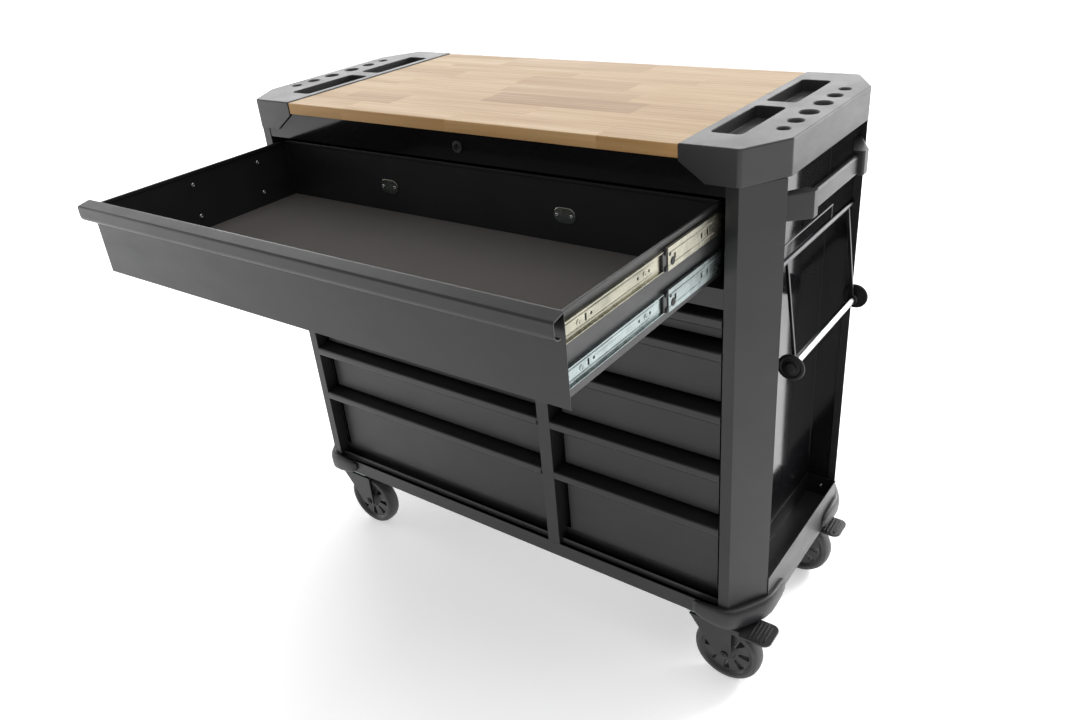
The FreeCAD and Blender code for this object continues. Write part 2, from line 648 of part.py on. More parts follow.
def make_small_drawers(inner):
    """Two columns of five: a front with its lip, a box, and the inner members of two slides."""
    image = mirrored(inner, "x")
    for side, left, right in columns():
        for number, row in enumerate(DRAWER_ROWS, start=1):
            name = f"drawer_{side}_{number}"
            top, low = f"row_{row}_top", f"row_{row}_low"
            handle = lip(f"{name}_lip", f"{left} + column_gap", f"{right} - column_gap", top,
                         "lip_high", "lip_back")
            front = pan(f"{name}_front", (f"{left} + panel_inset", "lip_deep", low),
                        (f"{right} - panel_inset", "panel_back", f"{top} - lip_skin"))
            box = tub(f"{name}_box", f"{left} + side_room", f"{right} - side_room",
                      f"{low} + box_lift", f"{top} - box_drop", "panel_back")
            height = f"{low} + slide_lift"
            members = [moved(inner, f"{right} - case_half", 0, height),
                       moved(image, f"{left} + case_half", 0, height)]
            node(name, join(f"{name}_body", handle, front, box, *members))


# ---------------------------------------------------------------- push handle and roll holder

def make_push_handle():
    """Two arms that spring from the posts' flanges and spread outwards, with a bar between."""
    foot = "post_x - flange"
    arms = [
        [(foot, "recess_front"), ("bracket_foot", "recess_front"),
         ("bracket_out", "bracket_near"), ("bracket_out", "bracket_near + bracket_wide"),
         ("bracket_in", "bracket_near + bracket_wide"), (foot, "recess_front + bracket_neck")],
        [(foot, "depth - recess_front"), (foot, "depth - recess_front - bracket_neck"),
         ("bracket_in", "bracket_far - bracket_wide"), ("bracket_out", "bracket_far - bracket_wide"),
         ("bracket_out", "bracket_far"), ("bracket_foot", "depth - recess_front")],
    ]
    node("handle_brackets", *[
        prism(f"arm_{number}", "XY", "bracket_low", "bracket_high", outline,
              [("bracket_round", rounds)])
        for number, (outline, rounds) in enumerate(zip(arms, ((2, 3), (3, 4))))
    ])
    node("handle_bar", prism(
        "grip", "XZ", "bracket_near + bracket_wide", "bracket_far - bracket_wide",
        [("bar_in", "bar_low"), ("bar_out", "bar_low"), ("bar_out", "bar_high"),
         ("bar_in", "bar_high")], [("bar_round", (0, 1, 2, 3))],
    ))


def make_roll_holder():
    pieces = [rod("holder_top", "y", ("holder_x", "recess_front", "holder_z"),
                  "depth - 2 * recess_front", "holder_bar")]
    for side in ("near", "far"):
        start = f"arm_{side} - wire_half"
        foot = "rod_z + rod_round + wire_half"
        pieces.append(prism(f"arm_{side}_wire", "XZ", start, f"{start} + 2 * wire_half", [
            ("holder_x - wire_half", "holder_z"), ("rod_x - wire_half", foot),
            ("rod_x + wire_half", foot), ("holder_x + wire_half", "holder_z"),
        ], [("wire_bend", (0, 1, 2, 3))]))
        eye = rod(f"eye_{side}", "y", ("rod_x", start, "rod_z"), "2 * wire_half", "eye_round")
        hole = rod(f"eye_{side}_hole", "y", ("rod_x", f"{start} - 1", "rod_z"),
                   "2 * wire_half + 2", "rod_round + eye_gap")
        pieces.append(cut(f"arm_{side}_eye", eye, hole))
    for end in ("spur_near", "spur_far"):
        pieces.append(rod(f"spur_{end}", "z", ("holder_x", end, "holder_z"),
                          "spur_high - holder_z", "spur_thin"))
    pieces.append(rod("spur_wire", "y", ("holder_x", "spur_near - wire_half", "spur_high"),
                      "spur_far - spur_near + 2 * wire_half", "spur_half"))
    node("roll_holder", join("holder", *pieces))
    node("roll_rod", rod("roller", "y", ("rod_x", "rod_front", "rod_z"), "rod_back - rod_front",
                         "rod_round"))
    node("roll_discs",
         rod("disc_near", "y", ("rod_x", "rod_front - disc_thick", "rod_z"), "disc_thick",
             "disc_round"),
         rod("disc_far", "y", ("rod_x", "rod_back", "rod_z"), "disc_thick", "disc_round"))


# ---------------------------------------------------------------- casters

def make_wheel():
    """A crowned tyre and a thin web with slots, turned about Y through the origin."""
    half = [("hub_half", "bore"), ("hub_half", "hub_round"), ("web_half", "web_in"),
            ("web_half", "web_out"), ("rim_half", "rim_in"), ("wheel_half", "tread_in"),
            ("tread_side", "tread_edge"), ("crown_half", "crown_edge"), (0, "wheel_round")]
    outline = half + [(f"-({y})", r) for y, r in reversed(half[:-1])]
    body, sketch = start_sketch("wheel_turned", "YZ", 0, outline)
    turn = body.newObject("PartDesign::Revolution", "wheel_turn")
    turn.Profile = sketch
    turn.ReferenceAxis = (sketch, ["H_Axis"])
    turn.Angle = 360
    body.Tip = turn
    slots = []
    for number in range(SPOKE_SLOTS):
        slot = prism("wheel_slot", "XZ", "-hub_half", "hub_half", [
            ("slot_start", "-slot_narrow"), ("slot_end", "-slot_high"), ("slot_end", "slot_high"),
            ("slot_start", "slot_narrow"),
        ], [("slot_round", (0, 1, 2, 3))])
        spoke = group("wheel_slot_turned", slot)
        angle = 360 * number / SPOKE_SLOTS
        spoke.Placement = Placement(Vector(), Rotation(Vector(0, 1, 0), angle))
        slots.append(spoke)
    return cut("wheel", body, *slots)


def make_fork(name, braked):
    """A crown plate under a stem, with two legs that slant back to the wheel's axle."""
    parts = [
        block(f"{name}_crown", ("-crown_back", "-fork_out", "crown_low"),
              ("crown_end", "fork_out", "crown_high")),
        rod(f"{name}_axle", "y", ("trail", "-fork_out - axle_end", "wheel_round"),
            "2 * (fork_out + axle_end)", "axle"),
        rod(f"{name}_stem", "z", (0, 0, "crown_high"), "stem_top - crown_high", "stem_round"),
    ]
    for low, high in (("fork_in", "fork_out"), ("-fork_out", "-fork_in")):
        parts.append(prism(f"{name}_leg", "XZ", low, high, [
            ("-crown_back", "crown_high"), ("trail - leg_foot", "leg_low"),
            ("trail + leg_foot", "leg_low"), ("crown_end", "crown_high"),
        ], [("leg_round", (1, 2))]))
    if braked:
        for low, high in (("fork_in + gap", "fork_out"), ("-fork_out", "-fork_in - gap")):
            parts.append(block("pedal_ear", ("pivot_x - ear_back", low, "ear_low"),
                               ("pivot_x + ear_half", high, "ear_top")))
        parts.append(rod("pedal_pin", "y", ("pivot_x", "-fork_out", "pivot_z"), "2 * fork_out",
                         "pivot_pin"))
    return join(f"{name}_fork", *parts)


def make_pedal():
    reach = "fork_in"
    barrel = rod("pedal_barrel", "y", ("pivot_x", f"-{reach}", "pivot_z"), f"2 * {reach}",
                 "pivot_barrel")
    neck = block("pedal_neck", ("pivot_x", f"-{reach}", "pedal_low"),
                 ("pedal_start + 1", reach, "pedal_top"))
    plate = prism("pedal_plate", "XY", "pedal_low", "pedal_top", rectangle(
        "pedal_start", "pedal_end", "-pedal_half", "pedal_half"), [("pedal_round", (1, 2))])
    hole = rod("pedal_hole", "y", ("pivot_x", "-fork_out", "pivot_z"), "2 * fork_out",
               "pivot_bore")
    return cut("pedal", join("pedal_solid", barrel, neck, plate), hole)


def make_casters():
    wheel = make_wheel()
    pedal = make_pedal()
    forks = (("right", "caster_x", make_fork("braked", True)),
             ("left", "-caster_x", make_fork("plain", False)))
    plate = block("swivel_plate", ("-plate_long", "-plate_wide", "plate_low"),
                  ("plate_long", "plate_wide", "base_low"))
    boss = rod("swivel_boss", "z", (0, 0, "boss_low"), "plate_low - boss_low + 1", "boss_round")
    headed = join("swivel_head", plate, boss)
    plates = []
    for end in ("front", "rear"):
        y = f"{end}_caster_y"
        node(f"brake_pedal_{end}", moved(pedal, "caster_x", y, 0))
        for side, x, fork in forks:
            node(f"caster_fork_{end}_{side}", moved(fork, x, y, 0))
            node(f"wheel_{end}_{side}", moved(wheel, f"{x} + trail", y, "wheel_round"))
            plates.append(moved(headed, x, y, 0))
    node("caster_plates", *plates)


# ---------------------------------------------------------------- build, check and write

def build():
    fill_sheet()
    make_worktop()
    make_trays()
    make_posts()
    make_side_panels()
    make_back_and_top()
    make_base()
    make_rails()
    make_fascia_and_lock()
    make_shelves()
    make_case_screws()
    make_bumpers()
    inner = make_slides()
    make_top_drawer()
    make_small_drawers(inner)
    make_push_handle()
    make_roll_holder()
    make_casters()
    doc.recompute()


def check():
    faults = [item.Label for item in doc.Objects
              if "Invalid" in item.State or "Error" in item.State]
    for part in nodes:
        if part.Shape.isNull() or not part.Shape.isValid() or not part.Shape.Solids:
            faults.append(part.Label)
    if faults:
        raise RuntimeError("these objects failed: " + ", ".join(faults))


def write():
    os.makedirs("parts", exist_ok=True)
    for part in nodes:
        part.Shape.exportStep(f"parts/{part.Label}.step")
    print(len(nodes), "sub-parts written")


build()
check()
write()
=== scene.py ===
import json
import math
import random

import bmesh
import bpy
from bpy.types import NodeSocket
from mathutils import Matrix, Vector


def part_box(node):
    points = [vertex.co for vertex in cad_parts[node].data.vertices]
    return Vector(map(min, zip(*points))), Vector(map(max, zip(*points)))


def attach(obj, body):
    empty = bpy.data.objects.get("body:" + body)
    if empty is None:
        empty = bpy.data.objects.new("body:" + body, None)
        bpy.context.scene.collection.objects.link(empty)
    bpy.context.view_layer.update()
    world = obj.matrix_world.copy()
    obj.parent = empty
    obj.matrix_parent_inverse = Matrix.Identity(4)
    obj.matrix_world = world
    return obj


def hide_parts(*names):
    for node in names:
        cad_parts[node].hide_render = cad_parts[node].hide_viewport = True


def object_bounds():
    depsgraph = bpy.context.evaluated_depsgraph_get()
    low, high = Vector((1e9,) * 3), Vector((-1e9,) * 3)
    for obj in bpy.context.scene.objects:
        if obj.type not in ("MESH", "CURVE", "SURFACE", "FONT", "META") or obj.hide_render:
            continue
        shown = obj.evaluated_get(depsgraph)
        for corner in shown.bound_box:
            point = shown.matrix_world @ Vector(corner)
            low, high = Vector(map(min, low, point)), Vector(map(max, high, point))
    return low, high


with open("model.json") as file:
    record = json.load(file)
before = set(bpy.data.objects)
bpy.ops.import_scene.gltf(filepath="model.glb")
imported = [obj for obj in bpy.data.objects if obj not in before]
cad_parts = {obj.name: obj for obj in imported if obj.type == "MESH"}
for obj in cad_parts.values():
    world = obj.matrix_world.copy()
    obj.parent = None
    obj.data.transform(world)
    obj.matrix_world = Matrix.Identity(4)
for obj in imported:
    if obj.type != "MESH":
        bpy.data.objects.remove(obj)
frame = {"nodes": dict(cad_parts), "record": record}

# A mobile workbench with one wide drawer open. Coordinates are metres in the row frame. Plain
# sizes of the pieces are millimetres, and MM turns them into metres.

MM = 0.001
MERGE = 0.00001
FLAT = math.radians(0.8)
COLOUR_ONE, COLOUR_TWO, COLOUR_OUT = 6, 7, 2  # sockets of a colour Mix node
scene = bpy.context.scene
record = frame["record"]
slot_of = {part["node"]: part["material_slot"] for part in record["subparts"]}
body_of = {
    node: body
    for body, members in record["behaviour"]["bodies"].items()
    for node in members
}
cad_low, cad_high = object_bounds()

top_low, top_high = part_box("worktop")
tray_low, tray_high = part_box("tray_right")
case_x = (top_low.x + top_high.x) / 2
case_y = tray_low.y
random.seed(7)


# ---------------------------------------------------------------- materials

TINT_LOW, TINT_HIGH = 0.835, 0.86  # metres up, where the lower slides' tint gives way to the upper's
DRAWN_ACROSS, DRAWN_ALONG = 1500.0, 12.0  # scales of the drawing lines
STAVES_APART = 37.0  # metres that one stave's grain is moved from another's, at most

def add(tree, kind, inputs=None, **settings):
    """One shader node; an input is a value, or a socket to link it from."""
    made = tree.nodes.new("ShaderNode" + kind)
    for key, value in settings.items():
        setattr(made, key, value)
    for key, value in (inputs or {}).items():
        if isinstance(value, NodeSocket):
            tree.links.new(value, made.inputs[key])
        else:
            made.inputs[key].default_value = value
    return made


def math_node(tree, operation, *values):
    made = add(tree, "Math", operation=operation)
    for place, value in enumerate(values):
        if isinstance(value, NodeSocket):
            tree.links.new(value, made.inputs[place])
        else:
            made.inputs[place].default_value = value
    return made.outputs[0]


def ramp(tree, source, *stops):
    """A colour ramp; each stop is (place, colour or grey)."""
    made = add(tree, "ValToRGB", {"Fac": source})
    steps = made.color_ramp.elements
    while len(steps) < len(stops):
        steps.new(0.5)
    for step, (place, tone) in zip(steps, stops):
        step.position = place
        step.color = (*tone, 1) if isinstance(tone, tuple) else (tone, tone, tone, 1)
    return made.outputs["Color"]


def mix(tree, factor, one, two, **settings):
    inputs = {"Factor": factor, COLOUR_ONE: one, COLOUR_TWO: two}
    return add(tree, "Mix", inputs, data_type="RGBA", **settings).outputs[COLOUR_OUT]


def start_material(name, **fixed):
    """A new material's tree, its shader and the object's own coordinates."""
    made = bpy.data.materials.new(name)
    made.use_nodes = True
    tree = made.node_tree
    shader = tree.nodes["Principled BSDF"]
    for key, value in fixed.items():
        shader.inputs[key.replace("_", " ")].default_value = value
    here = add(tree, "TexCoord").outputs["Object"]
    return made, tree, shader, here


def stretched(tree, here, x, y, z):
    return add(tree, "Mapping", {"Vector": here, "Scale": (x, y, z)}).outputs["Vector"]


def noise(tree, where, scale, detail=2.0, roughness=0.5):
    inputs = {"Vector": where, "Scale": scale, "Detail": detail, "Roughness": roughness}
    return add(tree, "TexNoise", inputs).outputs["Fac"]


def bump(tree, shader, height, depth, strength=1.0):
    made = add(tree, "Bump", {"Height": height, "Distance": depth, "Strength": strength})
    tree.links.new(made.outputs["Normal"], shader.inputs["Normal"])


def coated(name, dark, light, rough, grain=900, depth=0.00006, cloud=9, **fixed):
    """Paint or moulded plastic: a cloudy colour between two tones, uneven gloss and a fine skin."""
    made, tree, shader, here = start_material(name, **fixed)
    clouds = noise(tree, here, cloud, 4, 0.6)
    skin = noise(tree, here, grain, 3, 0.6)
    mixed = math_node(tree, "ADD", clouds, math_node(tree, "MULTIPLY", skin, 0.35))
    tree.links.new(ramp(tree, mixed, (0.45, dark), (0.85, light)), shader.inputs["Base Color"])
    low, high = rough
    smears = noise(tree, stretched(tree, here, 14, 14, 40), 1.0, 4, 0.65)
    tree.links.new(ramp(tree, smears, (0.3, low), (0.75, high)), shader.inputs["Roughness"])
    bump(tree, shader, skin, depth)
    return made


def metal(name, dark, light, rough, along, tints=None, depth=0.00002, **fixed):
    """Bright metal with fine drawing lines along one axis; tints colour it below and above."""
    made, tree, shader, here = start_material(name, Metallic=1.0, **fixed)
    scales = [DRAWN_ACROSS] * 3
    scales["xyz".index(along)] = DRAWN_ALONG
    lines = noise(tree, stretched(tree, here, *scales), 1.0, 3, 0.7)
    clouds = noise(tree, here, 22, 4, 0.6)
    mixed = math_node(tree, "MULTIPLY_ADD", lines, 0.35, math_node(tree, "MULTIPLY", clouds, 0.65))
    tone = ramp(tree, mixed, (0.35, dark), (0.65, light))
    if tints:
        level = add(tree, "SeparateXYZ", {"Vector": here}).outputs["Z"]
        low_down, high_up = tints
        film = ramp(tree, level, (TINT_LOW, low_down), (TINT_HIGH, high_up))
        tone = mix(tree, 1.0, tone, film, blend_type="MULTIPLY")
    tree.links.new(tone, shader.inputs["Base Color"])
    low, high = rough
    tree.links.new(ramp(tree, mixed, (0.3, low), (0.7, high)), shader.inputs["Roughness"])
    bump(tree, shader, lines, depth)
    return made


def wood():
    """Lacquered staves: tone, pinkness and a grain offset come from the stave attribute."""
    made, tree, shader, here = start_material("lacquered_wood", Specular_IOR_Level=0.12)
    stave = add(tree, "Attribute", attribute_name="stave")
    parts = add(tree, "SeparateColor", {"Color": stave.outputs["Color"]})
    tone, pink, offset = (parts.outputs[n] for n in ("Red", "Green", "Blue"))
    apart = math_node(tree, "MULTIPLY", offset, STAVES_APART)
    shift = add(tree, "CombineXYZ", {"X": apart, "Y": apart, "Z": offset}).outputs[0]
    moved = add(tree, "VectorMath", {0: here, 1: shift}, operation="ADD").outputs[0]
    broad = noise(tree, stretched(tree, moved, 2.4, 34, 34), 1.0, 5, 0.55)
    fibre = noise(tree, stretched(tree, moved, 7, 380, 380), 1.0, 4, 0.7)
    figure = add(tree, "TexWave", {
        "Vector": stretched(tree, moved, 1.1, 21, 12), "Scale": 1.3, "Distortion": 5.0,
        "Detail": 3.0, "Detail Scale": 0.7, "Detail Roughness": 0.55,
    }, wave_type="RINGS", rings_direction="Z").outputs["Fac"]
    veins = math_node(tree, "MULTIPLY_ADD", figure, 0.10, math_node(tree, "MULTIPLY", broad, 0.65))
    grain = math_node(tree, "MULTIPLY_ADD", fibre, 0.25, veins)
    shaded = math_node(tree, "MULTIPLY_ADD", grain, 1.0, -0.16)
    toned = math_node(tree, "MULTIPLY_ADD", tone, 0.42, shaded)
    plain = ramp(
        tree, toned, (0.16, (0.56, 0.41, 0.24)), (0.40, (0.475, 0.325, 0.175)),
        (0.64, (0.37, 0.235, 0.115)), (0.9, (0.26, 0.15, 0.07)))
    rosy = ramp(
        tree, toned, (0.16, (0.53, 0.37, 0.235)), (0.45, (0.43, 0.28, 0.165)),
        (0.95, (0.27, 0.15, 0.085)))
    blush = math_node(tree, "MULTIPLY", pink, 0.35)
    face = mix(tree, blush, plain, rosy)
    # Painted light: the board's upright sides, picked by which way each face points, get a brighter,
    # more orange colour than its top, to match how light and sheen fall on top and sides.
    facing = add(tree, "NewGeometry").outputs["Normal"]
    upward = add(tree, "SeparateXYZ", {"Vector": facing}).outputs["Z"]
    side = ramp(tree, upward, (0.3, 1.0), (0.8, 0.0))
    painted_side_tone = ramp(tree, toned, (0.12, (0.82, 0.54, 0.27)), (0.6, (0.55, 0.31, 0.12)))
    tree.links.new(mix(tree, side, face, painted_side_tone), shader.inputs["Base Color"])
    tree.links.new(ramp(tree, grain, (0.3, 0.42), (0.8, 0.56)), shader.inputs["Roughness"])
    bump(tree, shader, grain, 0.0002, 0.5)
    return made


def foam():
    """The wide drawer's foam liner."""
    made, tree, shader, here = start_material("liner_foam", Sheen_Weight=0.25)
    pores = noise(tree, here, 1400, 3, 0.7)
    clouds = noise(tree, stretched(tree, here, 3, 5, 5), 1.0, 4, 0.6)
    mixed = math_node(tree, "MULTIPLY_ADD", pores, 0.3, math_node(tree, "MULTIPLY", clouds, 0.7))
    tree.links.new(
        ramp(tree, mixed, (0.3, (0.034, 0.029, 0.025)), (0.7, (0.048, 0.041, 0.035))),
        shader.inputs["Base Color"])
    tree.links.new(ramp(tree, pores, (0.3, 0.62), (0.7, 0.82)), shader.inputs["Roughness"])
    bump(tree, shader, pores, 0.00025)
    return made


def rubber():
    """Tyre rubber with a little dust."""
    made, tree, shader, here = start_material("tyre_rubber")
    dust = noise(tree, here, 35, 5, 0.65)
    pits = noise(tree, here, 900, 3, 0.6)
    tree.links.new(
        ramp(tree, dust, (0.42, (0.030, 0.030, 0.033)), (0.75, (0.075, 0.074, 0.074))),
        shader.inputs["Base Color"])
    tree.links.new(ramp(tree, dust, (0.3, 0.42), (0.7, 0.62)), shader.inputs["Roughness"])
    bump(tree, shader, pits, 0.00015)
    return made


GREY_PAINT = coated(
    "grey_powder_coat", (0.015, 0.015, 0.0155), (0.021, 0.021, 0.021), (0.32, 0.42),
    Specular_IOR_Level=0.43)
# The first looks are named after the material slots, and the last five are for small pieces.
LOOK = {
    "worktop_wood": wood(),
    "tray_plastic": coated(
        "grey_moulded_plastic", (0.030, 0.030, 0.031), (0.038, 0.038, 0.039), (0.40, 0.50),
        grain=1300, depth=0.0001),
    "grey_paint": GREY_PAINT,
    "black_gloss": coated(
        "black_gloss_paint", (0.006, 0.006, 0.0068), (0.009, 0.009, 0.010), (0.07, 0.12),
        grain=260, depth=0.00001),
    "black_paint": coated(
        "black_powder_coat", (0.012, 0.012, 0.013), (0.017, 0.017, 0.018), (0.36, 0.46)),
    "slide_steel": metal(
        "zinc_plated_steel", (0.19, 0.19, 0.185), (0.42, 0.42, 0.41), (0.2, 0.34), "y",
        tints=((0.84, 0.99, 1.0), (1.0, 0.96, 0.78))),
    "chrome": metal("polished_steel", (0.45, 0.45, 0.46), (0.60, 0.60, 0.61), (0.14, 0.24), "z"),
    "black_plastic": coated(
        "black_moulded_plastic", (0.014, 0.014, 0.0155), (0.022, 0.022, 0.024), (0.36, 0.48),
        grain=1500, depth=0.0001),
    "drawer_liner": foam(),
    "tyre": rubber(),
    "dark_wire": metal(
        "dark_plated_wire", (0.035, 0.035, 0.037), (0.075, 0.075, 0.078), (0.24, 0.36), "y"),
    "black_lock": metal(
        "blackened_lock", (0.06, 0.06, 0.06), (0.13, 0.13, 0.13), (0.2, 0.32), "z"),
    # Painted light: the walls inside the tool holes get a lighter copy of the tray's plastic,
    # standing in for the light that falls on them.
    "lit_hole_wall": coated(
        "hole_wall_plastic", (0.065, 0.065, 0.066), (0.085, 0.085, 0.086), (0.45, 0.55),
        grain=1300, depth=0.0001),
    "dark_moulding": coated(
        "dark_moulded_plastic", (0.005, 0.005, 0.0055), (0.009, 0.009, 0.010), (0.4, 0.5),
        grain=1500, depth=0.0001, Specular_IOR_Level=0.25),
    "hub": coated(
        "grey_hub_plastic", (0.024, 0.024, 0.026), (0.036, 0.036, 0.038), (0.34, 0.46),
        grain=1500, depth=0.00008),
}


# ---------------------------------------------------------------- pieces made on the CAD shapes

def clean_mesh(node):
    """The node's own shape with its vertices merged and its flat faces made whole."""
    shape = bmesh.new()
    shape.from_mesh(frame["nodes"][node].data)
    bmesh.ops.remove_doubles(shape, verts=shape.verts, dist=MERGE)
    bmesh.ops.dissolve_limit(
        shape, angle_limit=FLAT, verts=shape.verts, edges=shape.edges)
    return shape


def shells(node):
    """The boxes of a node's separate solids, as (low, high) pairs."""
    shape = bmesh.new()
    shape.from_mesh(frame["nodes"][node].data)
    bmesh.ops.remove_doubles(shape, verts=shape.verts, dist=MERGE)
    seen, found = set(), []
    for start in shape.verts:
        if start in seen:
            continue
        group, queue = [], [start]
        seen.add(start)
        while queue:
            here = queue.pop()
            group.append(here.co.copy())
            for edge in here.link_edges:
                other = edge.other_vert(here)
                if other not in seen:
                    seen.add(other)
                    queue.append(other)
        low = Vector(min(p[i] for p in group) for i in range(3))
        high = Vector(max(p[i] for p in group) for i in range(3))
        found.append((low, high))
    shape.free()
    return found


def show(shape, name, looks, node, stands=True):
    """Links a bmesh as a piece that rides on the node's body, and may stand for the node."""
    bmesh.ops.recalc_face_normals(shape, faces=shape.faces)
    data = bpy.data.meshes.new(name)
    shape.to_mesh(data)
    shape.free()
    piece = bpy.data.objects.new(name, data)
    scene.collection.objects.link(piece)
    for look in looks:
        data.materials.append(look)
    data.shade_smooth()
    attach(piece, body_of[node])
    if stands:
        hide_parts(node)
    return piece


def round_edges(piece, width, segments=2, angle=32):
    """Rounds the edges that are sharper than an angle in degrees."""
    bevel = piece.modifiers.new("edges", "BEVEL")
    bevel.width = width * MM
    bevel.segments = segments
    bevel.limit_method = "ANGLE"
    bevel.angle_limit = math.radians(angle)
    bevel.use_clamp_overlap = False
    smooth = piece.modifiers.new("normals", "WEIGHTED_NORMAL")
    smooth.keep_sharp = True
    smooth.weight = 80


def finished(node, width):
    """The node's shape with its edges as a press brake, a mould or a paint film leaves them."""
    look = DARKENED.get(node, slot_of[node])
    piece = show(clean_mesh(node), node + "_finished", [LOOK[look]], node)
    round_edges(piece, width)


def worktop():
    """Glued staves on one board: a grid of faces, each knowing its stave."""
    rows = [0, 56, 121, 186, 251, 316, 381, (top_high.y - top_low.y) / MM]
    # each stave: right end in mm from the middle of the bench, tone, pinkness
    staves = [
        [(-262, 0.30, 0.1), (-20, 0.18, 0.0), (268, 0.24, 0.1), (400, 0.34, 0.1)],
        [(-330, 0.22, 0.0), (-198, 0.62, 0.6), (92, 0.26, 0.1), (400, 0.20, 0.0)],
        [(-45, 0.24, 0.1), (252, 0.80, 0.7), (400, 0.32, 0.1)],
        [(-300, 0.30, 0.0), (-62, 0.20, 0.1), (208, 0.50, 0.9), (400, 0.12, 0.0)],
        [(-230, 0.44, 0.5), (-70, 0.26, 0.1), (165, 0.52, 0.9), (400, 0.10, 0.0)],
        [(-310, 0.20, 0.0), (10, 0.34, 0.2), (262, 0.22, 0.3), (400, 0.28, 0.0)],
        [(-205, 0.34, 0.2), (120, 0.46, 0.6), (400, 0.24, 0.1)],
    ]
    cuts = sorted({end for row in staves for end, _, _ in row[:-1]})
    columns = [top_low.x] + [case_x + end * MM for end in cuts] + [top_high.x]
    depths = [top_low.y + y * MM for y in rows]
    shape = bmesh.new()
    level = {}
    for i, x in enumerate(columns):
        for j, y in enumerate(depths):
            for k, z in enumerate((top_low.z, top_high.z)):
                level[i, j, k] = shape.verts.new((x, y, z))
    last_i, last_j = len(columns) - 1, len(depths) - 1
    for i in range(last_i):
        for j in range(last_j):
            for k in (0, 1):
                shape.faces.new([level[i, j, k], level[i + 1, j, k],
                                 level[i + 1, j + 1, k], level[i, j + 1, k]])
    for i in range(last_i):
        for j in (0, last_j):
            shape.faces.new([level[i, j, 0], level[i + 1, j, 0],
                             level[i + 1, j, 1], level[i, j, 1]])
    for j in range(last_j):
        for i in (0, last_i):
            shape.faces.new([level[i, j, 0], level[i, j + 1, 0],
                             level[i, j + 1, 1], level[i, j, 1]])
    bmesh.ops.recalc_face_normals(shape, faces=shape.faces)
    piece = show(shape, "worktop_staves", [LOOK["worktop_wood"]], "worktop")
    offsets = {}
    values = []
    for face in piece.data.polygons:
        x, y, _ = face.center
        row = max(j for j in range(last_j) if depths[j] <= y or j == 0)
        place = (x - case_x) / MM
        stave = next(s for s, (end, _, _) in enumerate(staves[row]) if place <= end + 1)
        _, tone, pink = staves[row][stave]
        offsets.setdefault((row, stave), random.random())
        values += [(tone, pink, offsets[row, stave], 1.0)] * len(face.loop_indices)
    tint = piece.data.attributes.new("stave", "FLOAT_COLOR", "CORNER")
    tint.data.foreach_set("color", [c for value in values for c in value])
    round_edges(piece, 1.2, 3)


HOLE_X = 503  # from the bench's middle to the tool holes
COLLAR_TOP = 1.5  # the collars' datum below the tray's top face
# each hole: distance from the front, radius
TOOL_HOLES = ((113, 10), (157, 12.5), (206, 15), (262, 15), (311, 12.5), (355, 10))
COLLAR_STEPS = 32
# past the hole's radius, below the datum
COLLAR_PROFILE = ((0.1, -1.2), (-1.3, 1.6), (-1.3, 14), (1.6, 14), (1.6, 1.6))
BUMPER_STEPS = 28
BUMPER_SQUARENESS = 0.8  # 1 is a plain oval section, less is squarer
BUMPER_STATIONS = (
    # distance from the middle, distance from the front, half thickness, half height, middle height
    (424, 0.5, 1.5, 5, 160), (427, -1, 4.5, 11, 159), (434, -2.5, 7, 15, 158),
    (450, -3, 8, 18, 157), (472, -2.5, 9, 20.5, 156), (488, 0, 11, 22, 156),
    (498, 9, 13, 22, 156), (508, 24, 14, 22, 156), (518, 40, 14, 22, 156),
    (528, 56, 12.5, 22, 156), (534, 72, 10, 21, 156.5), (536, 92, 8, 19.5, 157),
    (536, 112, 7.5, 17.5, 157), (535.5, 126, 6.5, 14, 157), (535, 133, 4.5, 9, 157),
    (534.5, 136, 1.5, 4, 157),
)


def bumpers():
    """A plump rubber bumper swept round each corner of the base."""
    shape = bmesh.new()
    depth = tray_high.y - tray_low.y
    for side in (-1, 1):
        for front in (True, False):
            middles = []
            for out, back, _, _, height in BUMPER_STATIONS:
                y = case_y + back * MM if front else case_y + depth - back * MM
                middles.append(Vector((case_x + side * out * MM, y, height * MM)))
            rings = []
            for step, (_, _, thick, high, _) in enumerate(BUMPER_STATIONS):
                before, after = middles[max(step - 1, 0)], middles[min(step + 1, len(middles) - 1)]
                along = (after - before).normalized()
                across = Vector((along.y, -along.x, 0)).normalized()
                ring = []
                for x, z in ring_of(1, BUMPER_STEPS, math.pi / BUMPER_STEPS):
                    x, z = (math.copysign(abs(value) ** BUMPER_SQUARENESS, value)
                            for value in (x, z))
                    ring.append(middles[step] + across * (x * thick * MM)
                                + Vector((0, 0, z * high * MM)))
                rings.append(ring)
            stack(shape, rings)
    piece = show(shape, "corner_bumpers_moulded", [LOOK["black_plastic"]], "corner_bumpers")
    round_edges(piece, 0.6, 2, 50)


def hole_collars():
    """The tool holes' collars, which reach down inside each tray."""
    shape = bmesh.new()
    top = tray_high.z - COLLAR_TOP * MM
    for side in (-1, 1):
        for back, radius in TOOL_HOLES:
            centre = Vector((case_x + side * HOLE_X * MM, case_y + back * MM, top))
            rings = [placed(ring_of(radius + size, COLLAR_STEPS), -fall, centre, (0, 0, 1))
                     for size, fall in COLLAR_PROFILE]
            made = points_of(shape, rings)
            for low, high in zip(made, made[1:] + made[:1]):
                band(shape, low, high)
    piece = show(shape, "tool_hole_collars", [LOOK["lit_hole_wall"]], "tray_right", stands=False)
    round_edges(piece, 0.3, 1, 40)


TREAD_FROM = 0.8  # share of the wheel's radius


def wheel(node):
    """A wheel with its tread in rubber and its spoked centre in plastic."""
    low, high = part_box(node)
    middle = (low + high) / 2
    shape = clean_mesh(node)
    rim = (high.z - low.z) / 2 * TREAD_FROM
    for face in shape.faces:
        centre = face.calc_center_median() - middle
        face.material_index = 0 if math.hypot(centre.x, centre.z) > rim else 1
    piece = show(shape, node + "_finished", [LOOK["tyre"], LOOK["hub"]], node)
    round_edges(piece, 0.8, 2, 40)


# ---------------------------------------------------------------- small hardware

